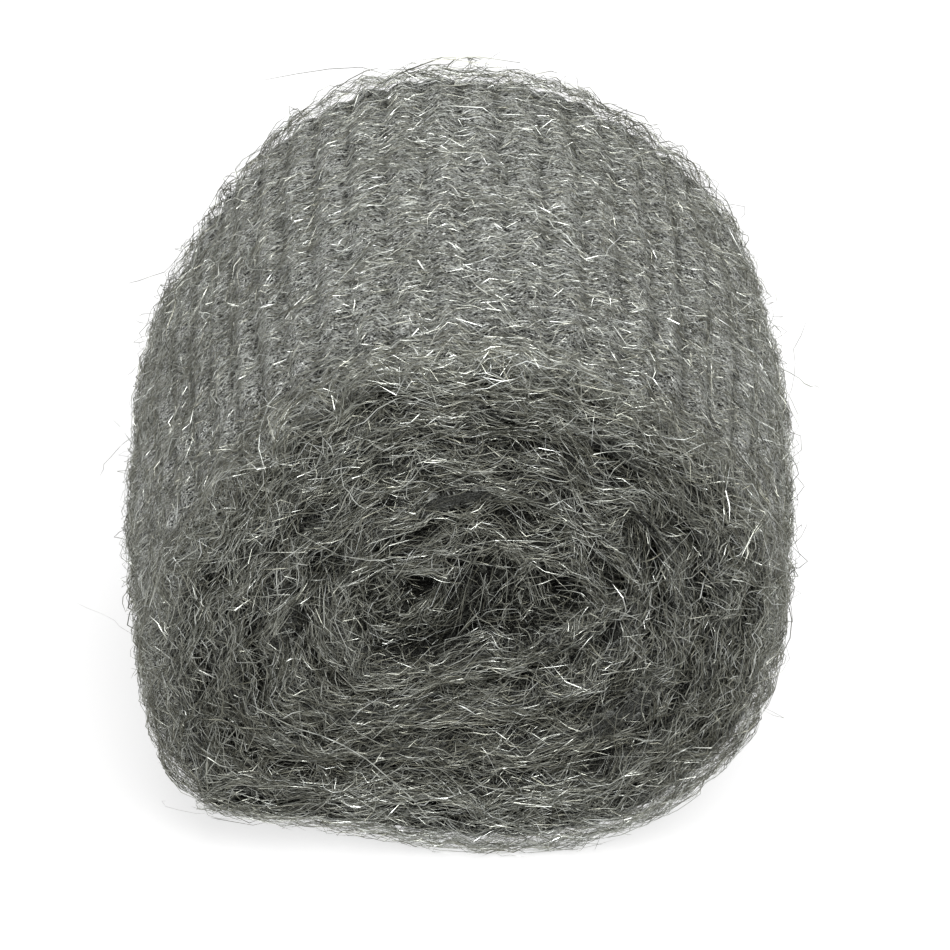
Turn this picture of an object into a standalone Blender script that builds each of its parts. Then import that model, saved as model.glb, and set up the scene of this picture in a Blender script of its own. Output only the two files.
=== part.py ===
"""A roll of steel wool, lying on its side with its axis along Y and one end facing -Y.

One ribbon of wool is wound outward, clockwise as seen from -Y, from an inner end folded into a
flattened hollow to a feathered outer end tucked in at the lower left. Cross ribs are pressed into
the ribbon, and show round the outside, where the wool also stands up in low tufts. Here and there
the front end face has opened in pockets. Sizes are in metres, angles in degrees, and +Z is up.
"""

import math

import bmesh
import bpy
import numpy as np

# The whole roll
ROLL_WIDTH = 0.1017
ROLL_HEIGHT = 0.1000
RIBBON_WIDTH = 0.0758  # from end face to end face
BARREL = 0.0027  # how much lower the outside is at the ends than halfway along
FLAT_SPOT_DEPTH = 0.0020  # how far the roll's weight presses its underside flat
SAG = 0.0015  # fuller low down, narrower on top
LEAN = 0.0003  # fuller at the lower left and the upper right
SKEW = 0.0006  # fuller at the left, the upper right and the lower right
CORNERS = 0.0010  # squarer at the lower left and the upper right

# The winding
WHOLE_TURNS = 4
TAIL_ANGLE = 220.0  # where the ribbon's outer end lies
FOLD_ANGLE = 205.0  # where its inner end leaves the wall of the hollow
TURN_GAP = 0.0007
TURN_WAVER = 0.0007  # how far a turn strays from an even spacing
WAVER_RATE = 8.9  # radians of that waver in each turn
TAIL_TIP = 0.0012  # thickness of the feathered outer end
TAIL_LENGTH = 50.0  # angle over which the outer end thins out
TAIL_STEP = 0.6  # share of a turn's thickness that the thinning takes away
TAIL_BULGE = 0.0053  # how far the roll stands out over its start beneath the outer end
TAIL_BULGE_SPREAD = 16.0
TAIL_SLACK = 0.0014  # more gap where the outer end has worked loose
TAIL_SLACK_LENGTH = 80.0
RIM_ROUNDING = 0.0026  # rounding of the ribbon's two edges, across the ribbon
RIM_LENGTH = 0.0042  # and along the roll
RIM_SHARE = 0.36  # the most of the ribbon's thickness that each rounding may take

# The hollow in the middle, and the inner end folded into it
HOLLOW_WIDTH = 0.0260
HOLLOW_HEIGHT = 0.0136
HOLLOW_RIGHT = 0.0040  # right of the roll's middle
HOLLOW_UP = 0.0012  # above the roll's middle
FOLD_LENGTH = 125.0
FOLD_CLEARANCE = 0.0030  # from the top of the fold to the roof of the hollow
FOLD_NOSE = 0.0020
FOLD_SHAPE = 1.8  # 1 is a broad fold, and more is narrower

# Ribs and end faces
RIB_PITCH = 0.0062
RIB_DEPTH = 0.0011
RIB_FADE = 18.0  # angle over which ribs fade out beside the outer end
END_DISH = 0.0018  # how far the middle of each end face lies back
END_CROWN = 0.0012  # how far the outside of each end face lies back
END_WAVE = 0.0006  # unevenness of each end face
CROWN_POWER = 8  # keeps the crown to the outermost turn

# Tufts of the outside
TUFT_LENGTH = 0.0230  # round the roll
TUFT_WIDTH = 0.0190  # along it
TUFT_HEIGHT = 0.0010  # from the lowest wool between tufts to the top of a tuft
TUFT_STRAY = 1.7  # how unevenly the tufts are staggered

# Pockets where the wool of the front end face has opened: each has its angle round the hollow, how many
# turns out from the hollow it lies, half its angle, half its width in turns, and its share of the depth
POCKET_DEPTH = 0.0045
POCKETS = (
    (168.0, 1.95, 13.0, 0.25, 1.0),
    (76.0, 1.60, 15.0, 0.22, 1.0),
    (98.0, 1.80, 13.0, 0.22, 0.9),
    (311.0, 1.45, 22.0, 0.22, 0.9),
    (119.0, 5.10, 7.0, 0.25, 0.6),
    (110.0, 4.48, 9.0, 0.22, 0.7),
    (73.0, 3.36, 11.0, 0.22, 0.8),
    (56.0, 3.83, 10.0, 0.22, 0.8),
    (30.0, 2.80, 12.0, 0.25, 0.9),
    (312.0, 3.10, 13.0, 0.22, 0.8),
    (188.0, 2.30, 12.0, 0.22, 0.9),
    (226.0, 3.70, 19.0, 0.22, 0.9),
)

# Facets
FACET_LENGTH = 0.0062
FACET_ANGLE = 14.0
POINTS_PER_RIB = 4
NOSE_POINTS = 3
FINE_STEPS = 4000  # for measuring along a side
MIDWAY = (0.32, 0.62)  # places of the sections between the middle and each end
SHARP_EDGE = 40.0

WOOL_COLOUR = (0.20, 0.20, 0.19, 1.0)
WOOL_ROUGHNESS = 0.45
WOOL_METALLIC = 0.85

MIDDLE = np.array((0.0, ROLL_HEIGHT / 2))
HOLLOW_MIDDLE = MIDDLE + np.array((HOLLOW_RIGHT, HOLLOW_UP))
TURNS = WHOLE_TURNS + ((FOLD_ANGLE - TAIL_ANGLE) % 360) / 360
FOLD_TURN = FOLD_LENGTH / 360
TAIL_TURN = TAIL_LENGTH / 360
SLACK_TURN = TAIL_SLACK_LENGTH / 360


def smooth_step(share):
    share = np.clip(share, 0.0, 1.0)
    return share * share * (3 - 2 * share)


def direction(turn):
    """Angle in radians at a place on the ribbon, counted in turns from the wall end of its inner fold."""
    return math.radians(TAIL_ANGLE) + 2 * math.pi * (TURNS - turn)


def lopsided_ring(angle):
    """The outer outline before it is given its width and height."""
    bulge = LEAN * np.sin(2 * angle) - SAG * np.sin(3 * angle) + CORNERS * np.sin(4 * angle)
    from_tail = (np.degrees(angle) - TAIL_ANGLE + 180) % 360 - 180
    tail_bulge = TAIL_BULGE * np.exp(-((from_tail / TAIL_BULGE_SPREAD) ** 2))
    reach = ROLL_HEIGHT / 2 + bulge - SKEW * np.cos(3 * angle) + tail_bulge
    return np.stack((reach * np.cos(angle), reach * np.sin(angle)), axis=-1)


RING = lopsided_ring(np.radians(np.arange(0.0, 360.0, 0.5)))
RING_MIDDLE = (RING.max(axis=0) + RING.min(axis=0)) / 2
RING_STRETCH = np.array((ROLL_WIDTH, ROLL_HEIGHT + FLAT_SPOT_DEPTH)) / (RING.max(axis=0) - RING.min(axis=0))


def outside(angle):
    """The outer outline halfway along the roll, before its underside is pressed flat."""
    ring = (lopsided_ring(angle) - RING_MIDDLE) * RING_STRETCH
    return ring + MIDDLE - (0.0, FLAT_SPOT_DEPTH / 2)


def hollow(angle):
    oval = np.stack((HOLLOW_WIDTH / 2 * np.cos(angle), HOLLOW_HEIGHT / 2 * np.sin(angle)), axis=-1)
    return HOLLOW_MIDDLE + oval


def depth_at(angle):
    """Thickness of all the turns together, at an angle."""
    return np.linalg.norm(outside(angle) - hollow(angle), axis=-1)


def between(angle, share):
    """A point on the way from the hollow's wall (share 0) to the outside (share 1)."""
    share = np.asarray(share)[..., None]
    return (1 - share) * hollow(angle) + share * outside(angle)


def layer(turn):
    """Share of the way out at which the ribbon's inner side lies."""
    past_tail = turn - TURNS
    lap = np.floor(past_tail)
    lap_share = past_tail - lap
    step = smooth_step((lap_share - 1 + TAIL_TURN) / TAIL_TURN)
    even = (TURNS + lap + (1 - TAIL_STEP) * lap_share + TAIL_STEP * step) / TURNS
    waver = TURN_WAVER / depth_at(direction(turn)) * np.sin(WAVER_RATE * turn) * np.sin(math.pi * even) ** 2
    return even * (1 - TAIL_TIP / depth_at(direction(turn))) + waver


def gap_above(turn):
    """Gap between the ribbon and the turn that covers it."""
    slack = np.clip((turn + 1 - TURNS + SLACK_TURN) / SLACK_TURN, 0.0, 1.0)
    return TURN_GAP + TAIL_SLACK * np.sin(math.pi * slack) ** 2


def fold_rise():
    """Height of the folded inner end, which parts the hollow into two pits."""
    roof_turn = ((FOLD_ANGLE - 90) % 360) / 360
    roof = between(direction(roof_turn), layer(roof_turn))
    floor = between(direction(-FOLD_TURN / 2), layer(0.0))
    return roof[1] - floor[1] - FOLD_CLEARANCE


def inner_side(turn):
    """The side of the ribbon that faces the hollow, with its folded inner end at turns below 0."""
    angle = direction(turn)
    side = between(angle, layer(np.maximum(turn, 0.0)))
    folded = np.clip(-turn / FOLD_TURN, 0.0, 1.0)
    side[..., 1] += fold_rise() * np.sin(math.pi * folded) ** FOLD_SHAPE
    return side


def covered_side(turn):
    """The side of the ribbon that faces outward, as far as the next turn covers it."""
    angle = direction(turn)
    return between(angle, layer(turn + 1) - gap_above(turn) / depth_at(angle))


def open_side(turn):
    """The outside of the last turn, without its ribs."""
    return outside(direction(turn))


def thickness(turn):
    angle = direction(turn)
    outer = np.where(turn > TURNS - 1, 1.0, layer(turn + 1) - gap_above(turn) / depth_at(angle))
    return (outer - layer(np.maximum(turn, 0.0))) * depth_at(angle)


def tuft_rise(along, y):
    """How far the outside stands up at its staggered tufts, at a place round the roll and along it."""
    column = np.sin(2 * math.pi * along / TUFT_LENGTH + TUFT_STRAY * np.sin(math.pi * y / TUFT_WIDTH))
    row = np.sin(2 * math.pi * y / TUFT_WIDTH + TUFT_STRAY * np.sin(math.pi * along / TUFT_LENGTH))
    return TUFT_HEIGHT / 2 * column * row


def pocket_depth(turn, across):
    """How far the pockets draw the wool back, at a place on the ribbon and a share of its thickness."""
    deepest = np.zeros(np.shape(turn))
    for angle, level, half_angle, half_width, depth_share in POCKETS:
        ahead = (turn - TURNS + (angle - TAIL_ANGLE) / 360 + 0.5) % 1 - 0.5
        beside = turn + across - ahead - level
        opened = np.exp(-((360 * ahead / half_angle) ** 4) - (beside / half_width) ** 2)
        deepest = np.maximum(deepest, POCKET_DEPTH * depth_share * opened)
    return deepest


def lengths_along(places):
    return np.concatenate(([0.0], np.cumsum(np.linalg.norm(np.diff(places, axis=0), axis=1))))


def facet_turns(side, start, end):
    """Turns at which a side gets its points, so that no facet is long or bends far."""
    fine = np.linspace(start, end, FINE_STEPS)
    length = np.diff(lengths_along(side(fine))) / FACET_LENGTH
    bend = np.diff(fine) * 360 / FACET_ANGLE
    effort = np.concatenate(([0.0], np.cumsum(np.maximum(length, bend))))
    count = math.ceil(effort[-1]) + 1
    return np.interp(np.linspace(0.0, effort[-1], count), effort, fine)


def rib_turns():
    """Turns at which the outside gets its points, how far each lies into a valley between ribs, and its
    place round the roll and share of the tufts' height, both of which fade beside the outer end."""
    fine = np.linspace(TURNS - 1, TURNS, FINE_STEPS)
    length = lengths_along(open_side(fine))
    ribs = round(length[-1] / RIB_PITCH)
    count = ribs * POINTS_PER_RIB
    place = np.arange(1, count) / POINTS_PER_RIB
    turns = np.interp(place / ribs, length / length[-1], fine)
    valley = 1 - np.abs(np.sin(math.pi * place))
    beside_tail = np.minimum(turns - TURNS + 1, TURNS - turns) * 360
    faded = smooth_step(beside_tail / RIB_FADE)
    return turns, valley * faded, place / ribs * length[-1], faded


def fold_nose():
    """Points round the blunt inner end, from the ribbon's inner side to its outer side."""
    start = inner_side(np.array([-FOLD_TURN]))
    across = covered_side(np.array([-FOLD_TURN])) - start
    ahead = np.array((-across[0, 1], across[0, 0])) / np.linalg.norm(across)
    swing = np.linspace(0.0, math.pi, NOSE_POINTS + 2)[1:-1, None]
    return start + across * (1 - np.cos(swing)) / 2 + ahead * FOLD_NOSE * np.sin(swing)


def ribbon_section():
    """The outline of the wound ribbon. For each of its points: how far it may be rounded, how far a pocket
    draws it back, its place round the roll, and the way out, which is nil where the outside has no tufts."""
    covered = facet_turns(covered_side, -FOLD_TURN, TURNS - 1)
    ribbed, valley, place, faded = rib_turns()
    inner = facet_turns(inner_side, -FOLD_TURN, TURNS)[::-1]

    out = open_side(ribbed)
    outward = out - MIDDLE
    outward /= np.linalg.norm(outward, axis=1)[:, None]
    out -= outward * (RIB_DEPTH * valley)[:, None]

    tail = open_side(np.array([TURNS]))
    outline = np.concatenate((covered_side(covered), out, tail, inner_side(inner), fold_nose()))
    turns = np.concatenate((covered, ribbed, [TURNS], inner, np.full(NOSE_POINTS, -FOLD_TURN)))
    across = np.zeros(len(turns))
    across[: len(covered) + len(ribbed) + 1] = 1.0
    tufted = slice(len(covered), len(covered) + len(ribbed))
    along = np.zeros(len(turns))
    along[tufted] = place
    out_way = np.zeros((len(turns), 2))
    out_way[tufted] = outward * faded[:, None]
    rounding = np.minimum(RIM_ROUNDING, RIM_SHARE * thickness(turns))
    return outline, rounding, pocket_depth(turns, across), along, out_way


def drawn_in(outline, amount):
    """The outline, which runs clockwise, with each point moved into the wool on its right."""
    along = np.roll(outline, -1, axis=0) - np.roll(outline, 1, axis=0)
    along /= np.linalg.norm(along, axis=1)[:, None]
    inward = np.stack((along[:, 1], -along[:, 0]), axis=1)
    return outline + inward * amount[:, None]


def barrelled(outline, y):
    """The section at a place along the roll: it is smaller towards the ends, and pressed flat underneath."""
    shrink = 1 - BARREL / (ROLL_HEIGHT / 2) * (2 * y / RIBBON_WIDTH) ** 2
    section = MIDDLE + (outline - MIDDLE) * shrink
    section[:, 1] = np.maximum(section[:, 1], 0.0)
    return section


def stations():
    """Places along the roll, each with the share of the rim's rounding that it shows."""
    end = RIBBON_WIDTH / 2
    corner = 1 - math.sqrt(0.5)
    near = [(0.0, 0.0)] + [(end * share, 0.0) for share in MIDWAY]
    near += [(end - RIM_LENGTH, 0.0), (end - corner * RIM_LENGTH, corner), (end, 1.0)]
    return [(-y, share) for y, share in near[:0:-1]] + near


def end_shift(x, z, y, pocket):
    """How far a point moves along the roll, because the end faces are dished, uneven and open in places."""
    off = np.array((x, z)) - HOLLOW_MIDDLE
    out = min(1.0, float(np.linalg.norm(off)) / (ROLL_HEIGHT / 2))
    angle = math.atan2(off[1], off[0])
    side = math.copysign(1.0, y)
    back = END_DISH * (1 - out * out) ** 2 + END_CROWN * out**CROWN_POWER
    back += END_WAVE * out * math.sin(2 * angle + side)
    if side < 0:
        back += pocket
    return -side * back * abs(2 * y / RIBBON_WIDTH) ** 3


def loft(bm, sections):
    """A closed body through a row of outlines with equally many points."""
    place = bm.verts.layers.int.new("place")
    (first_y, first), *others = sections
    ring = [bm.verts.new((x, first_y, z)) for x, z in first]
    for number, vert in enumerate(ring):
        vert[place] = number
    edges = [bm.edges.new((ring[number - 1], ring[number])) for number in range(len(ring))]
    bm.faces.new(ring)
    for y, outline in others:
        grown = bmesh.ops.extrude_edge_only(bm, edges=edges)["geom"]
        edges = [part for part in grown if isinstance(part, bmesh.types.BMEdge)]
        ring = [part for part in grown if isinstance(part, bmesh.types.BMVert)]
        ring.sort(key=lambda vert: vert[place])
        for vert, (x, z) in zip(ring, outline):
            vert.co = (x, y, z)
    bm.faces.new(ring)
    return place


def roll_mesh():
    outline, rounding, pockets, along, out_way = ribbon_section()
    sections = []
    for y, share in stations():
        tufted = outline + out_way * tuft_rise(along, y)[:, None]
        sections.append((y, barrelled(drawn_in(tufted, rounding * share), y)))
    bm = bmesh.new()
    place = loft(bm, sections)
    bm.normal_update()
    caps = [face for face in bm.faces if len(face.verts) > 4]
    bmesh.ops.triangulate(bm, faces=caps)
    bmesh.ops.recalc_face_normals(bm, faces=bm.faces)
    for vert in bm.verts:
        x, y, z = vert.co
        vert.co.y += end_shift(x, z, y, pockets[vert[place]])
    corners = np.array([vert.co for vert in bm.verts])
    middle = (corners.min(axis=0) + corners.max(axis=0)) / 2
    bmesh.ops.translate(bm, verts=bm.verts, vec=(-middle[0], -middle[1], 0.0))
    mesh = bpy.data.meshes.new("steel_wool_roll")
    bm.to_mesh(mesh)
    bm.free()
    return mesh


def wool_material():
    material = bpy.data.materials.new("steel_wool")
    material.use_nodes = True
    shader = material.node_tree.nodes["Principled BSDF"]
    shader.inputs["Base Color"].default_value = WOOL_COLOUR
    shader.inputs["Roughness"].default_value = WOOL_ROUGHNESS
    shader.inputs["Metallic"].default_value = WOOL_METALLIC
    return material


def clear_scene():
    for thing in list(bpy.data.objects):
        bpy.data.objects.remove(thing, do_unlink=True)


def build():
    clear_scene()
    parts = bpy.data.collections.new("steel_wool_roll")
    bpy.context.scene.collection.children.link(parts)
    roll = bpy.data.objects.new("steel_wool_roll", roll_mesh())
    parts.objects.link(roll)
    roll.data.materials.append(wool_material())
    roll.data.shade_smooth()
    roll.data.set_sharp_from_angle(angle=math.radians(SHARP_EDGE))


build()
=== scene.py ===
"""The looks of a roll of steel wool, lying on its side with one end face towards the camera.

A wound body, dark with painted shade, gives the roll its form and its crevices. Over it lie thousands
of loose fibres, each a closed three-sided strand that runs along the winding. Sizes are in metres and +Z
is up. Angles are in degrees, apart from those of fibres (headings, curls, kinks, sways, tilts and twists),
in radians.
"""

import math
from collections import namedtuple

import bmesh
import bpy
import numpy as np
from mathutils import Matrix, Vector, noise


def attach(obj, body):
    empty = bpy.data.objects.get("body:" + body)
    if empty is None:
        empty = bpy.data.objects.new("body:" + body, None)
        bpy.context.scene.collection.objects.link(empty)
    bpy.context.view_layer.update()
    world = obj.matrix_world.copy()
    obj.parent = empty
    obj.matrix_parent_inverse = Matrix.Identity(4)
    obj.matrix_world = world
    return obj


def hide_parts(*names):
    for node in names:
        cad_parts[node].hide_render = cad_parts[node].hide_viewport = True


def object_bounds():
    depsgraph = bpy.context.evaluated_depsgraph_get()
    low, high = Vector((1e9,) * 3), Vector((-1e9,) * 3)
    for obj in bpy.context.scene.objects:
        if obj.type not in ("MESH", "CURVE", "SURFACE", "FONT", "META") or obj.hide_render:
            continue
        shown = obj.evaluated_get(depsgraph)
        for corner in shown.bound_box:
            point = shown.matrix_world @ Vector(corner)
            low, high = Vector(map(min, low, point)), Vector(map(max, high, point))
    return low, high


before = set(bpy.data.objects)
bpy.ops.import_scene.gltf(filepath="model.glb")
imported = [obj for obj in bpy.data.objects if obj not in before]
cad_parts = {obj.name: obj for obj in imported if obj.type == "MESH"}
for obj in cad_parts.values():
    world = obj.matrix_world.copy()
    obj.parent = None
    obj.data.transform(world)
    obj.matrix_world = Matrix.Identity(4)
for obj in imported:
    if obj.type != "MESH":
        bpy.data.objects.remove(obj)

CAD_LOW, CAD_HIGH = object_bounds()

# The whole roll, as the frame has it
NODE = "steel_wool_roll"
BODY = "root"
ROLL_WIDTH, RIBBON_WIDTH, ROLL_HEIGHT = CAD_HIGH - CAD_LOW
END = RIBBON_WIDTH / 2
BARREL = 0.0027
FLAT_SPOT_DEPTH = 0.0020
SAG = 0.0015
LEAN = 0.0003
SKEW = 0.0006
CORNERS = 0.0010
FRONT, BACK = -1, 1

# The winding
WHOLE_TURNS = 4
TAIL_ANGLE = 220.0
FOLD_ANGLE = 205.0
TURN_GAP = 0.0007
TURN_WAVER = 0.0007
WAVER_RATE = 8.9
TAIL_TIP = 0.0012
TAIL_LENGTH = 50.0
TAIL_STEP = 0.6
TAIL_BULGE = 0.0053
TAIL_BULGE_SPREAD = 16.0
TAIL_SLACK = 0.0014
TAIL_SLACK_LENGTH = 80.0
RIM_ROUNDING = 0.0030
RIM_LENGTH = 0.0042
RIM_SHARE = 0.44

# The hollow in the middle, and the inner end folded into it
HOLLOW_WIDTH = 0.0260
HOLLOW_HEIGHT = 0.0136
HOLLOW_RIGHT = 0.0040
HOLLOW_UP = 0.0012
FOLD_LENGTH = 125.0
FOLD_CLEARANCE = 0.0030
FOLD_NOSE = 0.0020
FOLD_SHAPE = 1.8
FOLD_SINK = 0.0028
FOLD_SINK_TURNS = 0.22

# Ribs and end faces
RIB_PITCH = 0.0062
RIB_DEPTH = 0.0011
RIB_FADE = 18.0
END_DISH = 0.0018
END_CROWN = 0.0012
END_WAVE = 0.0006
CROWN_POWER = 8

# Tufts of the outside, and a shallow groove behind each of the ribbon's two edges
TUFT_LENGTH = 0.0230
TUFT_WIDTH = 0.0190
TUFT_HEIGHT = 0.0010
TUFT_STRAY = 1.7
GROOVE_DEPTH = 0.0006
GROOVE_PLACE = 0.0064
GROOVE_WIDTH = 0.0011

# Pockets where the wool of the front end face has opened: each has its angle round the hollow, how many
# turns out from the hollow it lies, half its angle, half its width in turns, and its share of the depth
POCKET_DEPTH = 0.0045
POCKETS = (
    (168.0, 1.95, 13.0, 0.25, 1.0),
    (76.0, 1.60, 15.0, 0.22, 1.0),
    (98.0, 1.80, 13.0, 0.22, 0.9),
    (311.0, 1.45, 22.0, 0.22, 0.9),
    (119.0, 5.10, 7.0, 0.25, 0.6),
    (110.0, 4.48, 9.0, 0.22, 0.7),
    (73.0, 3.36, 11.0, 0.22, 0.8),
    (56.0, 3.83, 10.0, 0.22, 0.8),
    (30.0, 2.80, 12.0, 0.25, 0.9),
    (312.0, 3.10, 13.0, 0.22, 0.8),
    (188.0, 2.30, 12.0, 0.22, 0.9),
    (226.0, 3.70, 19.0, 0.22, 0.9),
)

# The body under the loose fibres
BODY_INSET = 0.0011
BODY_END_INSET = 0.0016
COVERED_INSET = 0.0002
FACET_LENGTH = 0.0050
FACET_ANGLE = 10.0
POINTS_PER_RIB = 6
NOSE_POINTS = 5
FLAT_STEPS = 8
RIM_STEPS = 5
FINE_STEPS = 4000
LUMP_SIZE = 0.0060
LUMP_HEIGHT = 0.0006
LUMP_SEED = 5
GROUND = 0.00025  # the lowest that a section of the body, or the middle line of a strand, may lie

# Painted shade darkens the body: wholly in a crevice, partly in creases and grooves, and less on the outer
# turns' rims, where painted light lifts it, than on those near the hollow
CREASE_PAINTED_SHADE = 0.6
GROOVE_PAINTED_SHADE = 0.5
PAINTED_LIGHT_TURNS = (0.3, 0.9)
RIM_PAINTED_LIGHT = 0.24

# Strands
STRAND_WIDTH = 0.00013
STRAND_THICKNESS = 0.00009
STRAND_TWIST = 1.1
WIDTH_SPREAD = 0.30
TAPER = 0.35
WELD = 1e-7
CAP_CORNERS = 6  # corners of a strand's two caps
SIDE_CORNERS = 12  # corners of the three sides of one straight piece of a strand

# Families of fibres: how many, straight pieces in each, usual length, width as a share of a full strand's,
# spread of their headings, and how low and how high over the wool they lie. Fuzz starts at the low height
# and stands up by the high one
Family = namedtuple("Family", "count segments length width spread low high", defaults=(0.0, 0.0, 0.0))
SHORT_OUTSIDE = Family(5700, 2, 0.0031, 0.62, 0.22, -0.0009, 0.0003)
LONGER_OUTSIDE = Family(2700, 3, 0.0050, 0.62, 0.30, -0.0007, 0.0004)
COMBED_RIM = Family(450, 5, 0.0095, 0.70, 0.08, -0.0005, 0.0005)
FRONT_END = Family(5500, 4, 0.0084, 0.61, 0.26, -0.0012, 0.0004)
BACK_END = Family(2500, 4, 0.0090, 0.95, 0.32, -0.0014, 0.0004)
FRONT_BRIDGES = Family(900, 4, 0.0080, 0.62, 0.35, -0.0012, 0.0001)
BACK_BRIDGES = Family(300, 4, 0.0080, 0.80, 0.35, -0.0012, 0.0001)
FRONT_HOLLOW = Family(420, 6, 0.0075, 0.65)
BACK_HOLLOW = Family(260, 5, 0.0075, 0.80)
LONG_LOOPS = Family(1150, 5, 0.0080, 0.62, 0.35, -0.0005, 0.0010)
SHORT_LOOPS = Family(1050, 4, 0.0034, 0.58, 0.80, -0.0005, 0.0012)
SHORT_TIPS = Family(700, 3, 0.0030, 0.55, 0.90, -0.0005, 0.0010)
LONG_TIPS = Family(80, 9, 0.0120, 0.70, 0.80, -0.0005, 0.0036)
FRONT_FUZZ = Family(300, 4, 0.0050, 0.75, low=-0.0006, high=0.0007)
BACK_FUZZ = Family(120, 4, 0.0050, 0.75, low=-0.0006, high=0.0007)
FRONT_LACE = Family(700, 5, 0.0085, 0.75, 0.30, -0.0004, 0.0012)
BACK_LACE = Family(250, 5, 0.0085, 0.75, 0.30, -0.0004, 0.0012)
FRONT_STRAYS = Family(60, 8, 0.0140, 0.78, 0.70, 0.0002, 0.0012)
BACK_STRAYS = Family(40, 8, 0.0140, 1.00, 0.70, 0.0002, 0.0012)
OUTSIDE_STRAYS = Family(90, 7, 0.0110, 0.72, 0.90, 0.0002, 0.0010)
PLACING_SEED = 11

# How fibres run: their curl, and their kinks in heading and in height
Run = namedtuple("Run", "curl kink rise_kink", defaults=(0.0,))
OUTSIDE_RUN = Run(0.9, 0.22, 0.00024)
RIM_RUN = Run(0.4, 0.16, 0.00020)
END_RUN = Run(0.9, 0.20, 0.00022)
HOLLOW_RUN = Run(2.6, 0.15)
FUZZ_RUN = Run(1.6, 0.30, 0.00022)
END_FUZZ_RUN = Run(1.3, 0.15)
LACE_RUN = Run(1.0, 0.25, 0.00020)
STRAY_RUN = Run(1.3, 0.12, 0.00020)

# Spread of the fibres' lengths, how far their ends dive into the wool and how far they pass an end face
LENGTH_SPREAD = 0.35
OUTSIDE_LENGTH_SPREAD = 0.32
RIM_LENGTH_SPREAD = 0.30
DIVE = 0.0004
LAID_OVERHANG = 0.0006
STRAY_OVERHANG = 0.004
FUZZ_OVERHANG = 0.006

# Fibres gather in locks. A share of them lies loose, and a share of those crosses the winding at any angle.
# A lock's heading has a share of its family's spread, and its fibres keep near it, in ribs and metres on
# the outside and in turns and shares of the ribbon's thickness on an end face
LOCK_MEMBERS = 14
Locks = namedtuple("Locks", "loose wild sway place_spread row_spread")
OUTSIDE_LOCKS = Locks(0.70, 0.07, 0.5, 0.25, 0.0014)
END_LOCKS = Locks(0.75, 0.18, 0.9, 0.02, 0.16)

# Fibres on the outside: how many times more places and rows are drawn than are used, and which share of
# the places is kept at which height. How far fibres follow the ribs, and how much fewer and deeper they
# are in a crease between two ribs and in a groove
SPARE_PLACES = 5
SPARE_ROWS = 2
PLACED_HEIGHTS = (0.0, 0.05, 0.2, 0.5)
PLACED_SHARES = (0.25, 0.4, 0.75, 1.0)
OUTSIDE_FOLLOW = (0.55, 0.95)
RIM_FOLLOW = 0.7
STRAY_FOLLOW = 0.5
RIB_THINNING = 0.35
RIB_DIVE = 0.0004
GROOVE_THINNING = 0.45
GROOVE_DIVE = 0.0003

# Where the ribs are worn: angle round the roll and its spread, place along it and its spread, and the
# share of their painted shade and depth that the creases lose
WORN_ANGLE = 104.0
WORN_ANGLE_SPREAD = 36.0
WORN_PLACE = -0.0180
WORN_LENGTH = 0.0280
WORN_SHARE = 0.7

# Fibres on an end face: the thinnest ribbon that they reckon with, how far across it they reach, how much
# one end lies higher than the other, and how far they follow its rims, less on the outermost turn
THINNEST_WALL = 0.002
END_REACH = (-0.6, 1.35)
OUTERMOST_REACH = 1.04
END_SLANT = 0.0006
END_FOLLOW = 0.8
FOLLOW_PLACES = (1.3, 0.9)
FOLLOW_SHARES = (1.0, 0.5)
POCKET_FOLLOW = 0.3
BRIDGE_SPREAD = 0.2
BRIDGE_WILD = 0.2

# Fibres in the hollow: their middles as shares of its half width and half height, how deep they lie, their
# tilt, how far they may stand proud, and their shortest and longest length as shares
HOLLOW_ACROSS = (0.27, 0.35)
HOLLOW_UPWARD = (-1.35, 1.0)
HOLLOW_DEPTHS = (0.0010, 0.0120)
HOLLOW_TILT = 0.35
HOLLOW_PROUD = 0.0012
HOLLOW_LENGTHS = (0.5, 1.3)

# Fuzz: shortest and longest length as shares, how its tips bend up, spread of its heights, and its limit
FUZZ_LENGTHS = (0.5, 1.5)
FUZZ_BENDS = (0.8, 1.8)
FUZZ_SPREAD = 0.5
FUZZ_LIMIT = 0.0085
END_FUZZ_LENGTHS = (0.4, 1.4)
END_FUZZ_BEND = 1.3
END_FUZZ_SPREAD = 0.6
END_FUZZ_LIMIT = 0.0075
END_FUZZ_WALL = 0.003
END_FUZZ_REACH = (-1.0, 1.8)

# Lace round the rims hangs further over the end faces near the ground
LACE_BACK = 0.0030
LACE_HEIGHTS = (0.03, 0.15)
LACE_OVERHANGS = (0.0042, 0.0014)

# The lie of the wool is crimped: its seed, its shortest and longest wave, its sway and how far its waves
# turn aside
LIE_WAVES = 12
OUTSIDE_LIE = (3, 0.0030, 0.0100, 0.20, 1.0)
END_LIE = (4, 0.0045, 0.0160, 0.34, 0.9)

# Shades run from 0, oily dark, to 1, bright steel, at random. Painted light and shade change them with
# height, as a share of the roll's, in a band behind the rims, and on the front end face
# Painted light and shade by height: lightest at the bottom, darkest a fifth of the way up, a little lighter
# on top
PAINTED_CHANGE_HEIGHTS = (0.0, 0.10, 0.22, 0.45, 0.72, 0.88, 0.96, 1.0)
PAINTED_CHANGES_BY_HEIGHT = (0.15, 0.02, -0.18, -0.07, -0.08, -0.07, 0.02, 0.03)
SHADE_SPREAD = (1.3, 1.8)
RIM_BAND = (0.0, 0.001, 0.006, 0.011)
RIM_BAND_SHARES = (0.0, 1.0, 1.0, 0.0)
# Painted shade on fibres in the band behind the rims, and painted light on the front end face's fibres
RIM_PAINTED_SHADE = -0.07
FRONT_PAINTED_LIGHT = 0.05
SHADE_WIDTH = 0.02
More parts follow.
